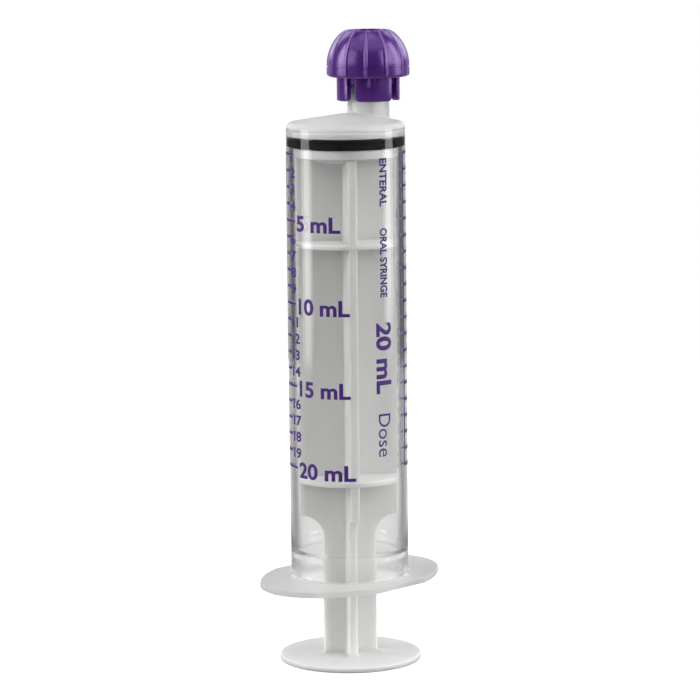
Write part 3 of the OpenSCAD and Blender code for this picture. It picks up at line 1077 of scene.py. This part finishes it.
def facing_in(tree):
    """One on faces turned towards the barrel's axis, where the wall shows the ink's back."""
    surface = tree.nodes.new("ShaderNodeNewGeometry")
    x, y = object_xyz(tree)[:2]
    outward = tree.nodes.new("ShaderNodeCombineXYZ")
    tree.links.new(x, outward.inputs[0])
    tree.links.new(y, outward.inputs[1])
    unit = tree.nodes.new("ShaderNodeVectorMath")
    unit.operation = "NORMALIZE"
    tree.links.new(outward.outputs[0], unit.inputs[0])
    dot = tree.nodes.new("ShaderNodeVectorMath")
    dot.operation = "DOT_PRODUCT"
    tree.links.new(surface.outputs["True Normal"], dot.inputs[0])
    tree.links.new(unit.outputs[0], dot.inputs[1])
    return step_mask(tree, maths(tree, "MULTIPLY", dot.outputs["Value"], -1.0), 0.3, 0.7)


def print_ink():
    """The scale and numerals: purple ink, faintly uneven where the pad laid it."""
    material, tree, shader, _ = new_finish("print_ink")
    grain = use_moulded(tree, shader, 0.1, 0.0001, Roughness=0.45, Roughness_Spread=0.2,
                        Grain_Scale=5200.0, Grain=0.8, Flow=0.3)
    tint = blend_colours(tree, grain.outputs["Tone"], INK_DARK, INK_LIGHT)
    tree.links.new(blend_colours(tree, facing_in(tree), tint, INK_BACK), shader.inputs["Base Color"])
    shader.inputs["Specular IOR Level"].default_value = 0.3
    return material


def floor_finish():
    """Pale matte studio floor with a barely visible tooth, kept bright for the camera."""
    material, tree, shader, _ = new_finish("studio_floor")
    use_moulded(tree, shader, 0.03, 0.0003, Roughness=0.85, Roughness_Spread=0.05,
                Grain_Scale=900.0, Grain=0.3, Flow=0.1)
    path = tree.nodes.new("ShaderNodeLightPath")
    seen = path.outputs["Is Camera Ray"]
    x, y = object_xyz(tree)[:2]
    away = turned_from(tree, x, y, TO_CAMERA + math.pi)
    aside = step_mask(tree, away, math.radians(BACK_HALF_W - BACK_SOFT),
                      math.radians(BACK_HALF_W + BACK_SOFT))
    bounce = maths(tree, "MULTIPLY_ADD", aside, FLOOR_ASIDE - FLOOR_BOUNCE, FLOOR_BOUNCE)
    level = maths(tree, "MULTIPLY_ADD", seen, maths(tree, "SUBTRACT", FLOOR_SEEN, bounce), bounce)
    tint = blend_colours(tree, level, (0, 0, 0), (1, 1, 1))
    tree.links.new(tint, shader.inputs["Base Color"])
    shader.inputs["Specular IOR Level"].default_value = 0.1
    shader.inputs["Emission Color"].default_value = (1, 1, 1, 1)
    tree.links.new(maths(tree, "MULTIPLY", seen, FLOOR_LIFT), shader.inputs["Emission Strength"])
    return material


# ---------------------------------------------------------------- studio
def make_camera():
    data = bpy.data.cameras.new("camera")
    data.sensor_width = CAMERA_SENSOR
    data.lens = CAMERA_LENS
    data.clip_start = 0.01
    camera = bpy.data.objects.new("camera", data)
    bpy.context.scene.collection.objects.link(camera)
    camera.location = CAMERA_AT
    heading, down = math.radians(CAMERA_HEADING), math.radians(CAMERA_DOWN)
    level = math.cos(down)
    look = Vector((math.cos(heading) * level, math.sin(heading) * level, -math.sin(down)))
    turn = look.to_track_quat("-Z", "Y").to_matrix().to_4x4()
    roll = Matrix.Rotation(math.radians(CAMERA_ROLL), 4, "Z")
    camera.matrix_world = Matrix.Translation(CAMERA_AT) @ turn @ roll
    bpy.context.scene.camera = camera


def make_floor():
    profile = [(0, 0), (40, 0), (120, 0), (FLOOR_R, 0), (FLOOR_R, -FLOOR_T), (0, -FLOOR_T)]
    piece = revolve("studio_floor", profile, turn_angles(96))
    piece.data.materials.append(floor_finish())


def window(tree, x, y, z, azimuth, half_width, low, high, soft):
    """Share of a soft box in a direction: azimuth from the camera's side, heights in degrees."""
    turned = turned_from(tree, x, y, TO_CAMERA + math.radians(azimuth))
    height = maths(tree, "ARCSINE", z)
    wide = maths(tree, "SUBTRACT", 1.0, step_mask(tree, turned, math.radians(half_width - soft),
                                                  math.radians(half_width + soft)))
    up = step_mask(tree, height, math.radians(low - soft), math.radians(low + soft))
    down = maths(tree, "SUBTRACT", 1.0, step_mask(tree, height, math.radians(high - soft),
                                                  math.radians(high + soft)))
    return maths(tree, "MULTIPLY", wide, maths(tree, "MULTIPLY", up, down))


def make_world():
    """Plain white to the camera. To every other ray, a dim studio with soft boxes round it."""
    world = bpy.data.worlds.new("studio")
    bpy.context.scene.world = world
    world.use_nodes = True
    tree = world.node_tree
    tree.nodes.clear()
    out = tree.nodes.new("ShaderNodeOutputWorld")
    seen = tree.nodes.new("ShaderNodeBackground")
    seen.inputs["Strength"].default_value = 1.0
    seen.inputs["Color"].default_value = (1, 1, 1, 1)
    light = tree.nodes.new("ShaderNodeBackground")
    coords = tree.nodes.new("ShaderNodeTexCoord")
    split = tree.nodes.new("ShaderNodeSeparateXYZ")
    tree.links.new(coords.outputs["Generated"], split.inputs[0])
    x, y, z = split.outputs
    total = AMBIENT
    for azimuth, half_width, low, high, soft, power in SOFT_BOXES:
        share = window(tree, x, y, z, azimuth, half_width, low, high, soft)
        total = maths(tree, "ADD", maths(tree, "MULTIPLY", share, power), total)
    tree.links.new(total, light.inputs["Strength"])
    path = tree.nodes.new("ShaderNodeLightPath")
    mix = tree.nodes.new("ShaderNodeMixShader")
    tree.links.new(path.outputs["Is Camera Ray"], mix.inputs[0])
    tree.links.new(light.outputs[0], mix.inputs[1])
    tree.links.new(seen.outputs[0], mix.inputs[2])
    tree.links.new(mix.outputs[0], out.inputs["Surface"])


# ---------------------------------------------------------------- assembly
def finish_piece(piece, materials, body, slot, *nodes):
    piece.data.materials.clear()
    for material in materials:
        piece.data.materials.append(material)
    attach(piece, body)
    if nodes:
        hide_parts(*nodes)


ink = print_ink()
barrel = make_barrel()
finish_piece(barrel, [barrel_plastic(*row) for row in BARREL_PLASTICS],
             "barrel", "clear_barrel", "barrel")
for face in barrel.data.polygons:
    face.material_index = barrel_finish(face.center)
finish_piece(make_plunger(), [milky_plastic()], "plunger", "milky_plunger", "plunger_rod")
finish_piece(make_seal(), [black_rubber()], "seal", "black_seal", "seal_ring")
finish_piece(make_cap(), [purple_plastic()], "cap", "purple_cap", "tip_cap")
finish_piece(make_numerals(), [ink], "barrel", "scale_ink")
scale_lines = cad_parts["scale_lines"]
scale_lines.data.materials.clear()
scale_lines.data.materials.append(ink)

make_floor()
make_camera()
make_world()
bpy.context.scene.view_settings.view_transform = "Standard"
